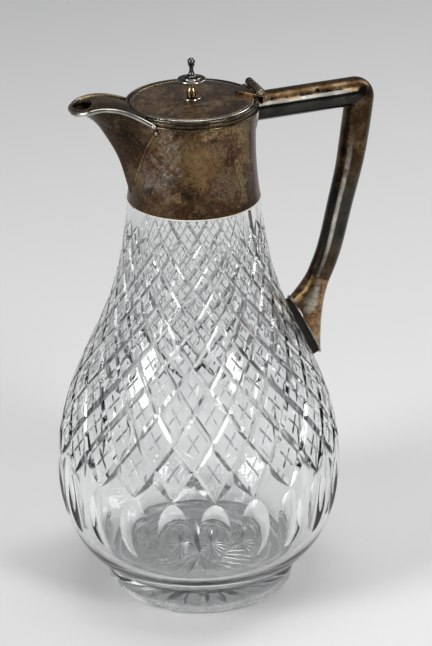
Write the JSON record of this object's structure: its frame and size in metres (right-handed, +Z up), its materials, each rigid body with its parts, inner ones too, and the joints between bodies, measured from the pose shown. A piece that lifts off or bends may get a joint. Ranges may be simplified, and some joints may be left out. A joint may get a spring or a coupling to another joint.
{
  "type": "claret jug",
  "caption": "Cut-glass claret jug with a tarnished silver mount: hooded spout, hollow angular handle and a hinged flat lid with a finial.",
  "frame": {"origin": "on the jug's axis, in the plane that the foot stands on", "axes": "+Z up along the jug's axis, +X towards the handle, -X towards the spout, +Y by the right hand"},
  "size_m": [0.1744, 0.1508, 0.2929],
  "materials": {
    "cut_glass": "clear lead crystal, polished, with cut facets",
    "plaster": "off-white set plaster",
    "mount_silver": "tarnished silver plate, brown patina with bright scratches",
    "handle_silver": "tarnished silver plate with rubbed bright streaks",
    "lid_silver": "tarnished silver plate, mottled brown",
    "wire_silver": "rubbed silver plate on edges and wires",
    "hinge_silver": "worn silver plate",
    "finial_silver": "silver plate, bright on the edges",
    "fixing_brass": "plain turned brass"
  },
  "bodies": {
    "jug": {"glass_body": "cut_glass", "neck_plaster": "plaster", "shoe_plaster": "plaster", "collar_band": "mount_silver", "collar_rim_ring": "wire_silver", "collar_bead_wire": "wire_silver", "spout_body": "mount_silver", "spout_hood": "mount_silver", "spout_edge_wire": "wire_silver", "handle_tongue": "handle_silver", "handle_upper_arm": "handle_silver", "handle_lower_arm": "handle_silver", "handle_shoe": "handle_silver", "shoe_plate": "wire_silver", "hinge_saddle": "hinge_silver", "hinge_pin": "hinge_silver"},
    "lid": {"lid_disc": "lid_silver", "lid_edge_wire": "wire_silver", "lid_bezel": "lid_silver", "lid_hinge_leaf": "hinge_silver", "finial_base_ring": "finial_silver", "finial_bulb": "finial_silver", "finial_flange": "finial_silver", "finial_cone": "finial_silver", "finial_ball": "finial_silver", "finial_stud": "fixing_brass", "finial_washer": "fixing_brass", "finial_nut": "fixing_brass"}
  },
  "joints": [
    {"name": "lid_hinge", "type": "hinge", "parent": "jug", "child": "lid", "pos_m": [0.0336, 0, 0.2736], "axis": [0, 1, 0], "range_deg": [0, 100]}
  ]
}
